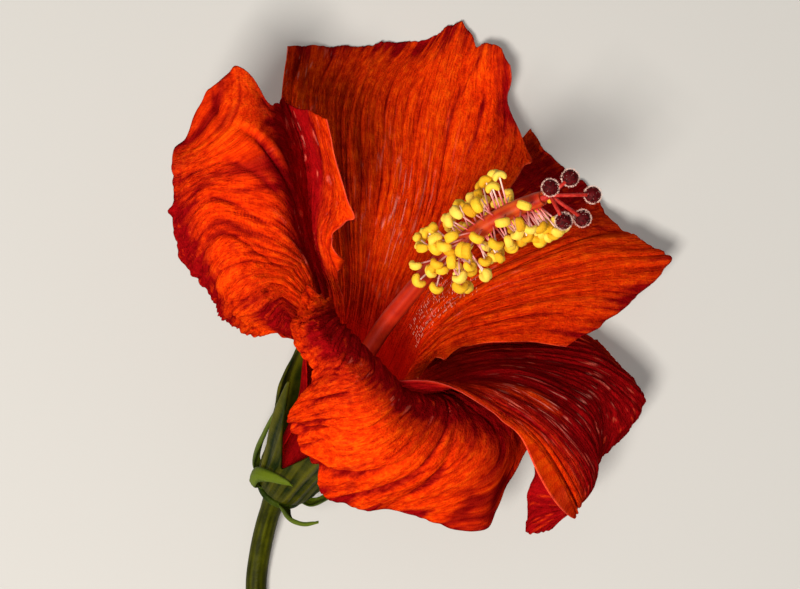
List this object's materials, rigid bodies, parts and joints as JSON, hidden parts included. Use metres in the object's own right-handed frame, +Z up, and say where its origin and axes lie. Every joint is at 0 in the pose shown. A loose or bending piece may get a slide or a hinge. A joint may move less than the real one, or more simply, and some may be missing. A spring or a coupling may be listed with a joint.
{
  "type": "hibiscus flower",
  "caption": "Cut hibiscus bloom lying on its side: orange-red petals round a funnel throat, a long column of yellow anthers, a green calyx and a short curved stalk.",
  "frame": {"origin": "on the surface the flower lies on, under the middle of its bounding box", "axes": "+Z up from that surface; +Y along the picture's up direction, from the stalk's cut end towards the petal that leans on the surface; +X to the right, towards the side the stigmas point"},
  "size_m": [0.081, 0.1141, 0.0635],
  "materials": {
    "petal": "satin, finely veined, velvety",
    "calyx": "satin, downy",
    "bract": "satin, downy",
    "stalk": "satin, finely ridged",
    "stamens": "matte, powdery",
    "pistil": "velvety, matte"
  },
  "bodies": {
    "root": {"stalk": "stalk", "epicalyx": "bract", "calyx": "calyx", "petal_left": "petal", "petal_upper": "petal", "petal_right": "petal", "petal_lower": "petal", "petal_front": "petal", "stamens": "stamens", "pistil": "pistil"}
  },
  "joints": []
}
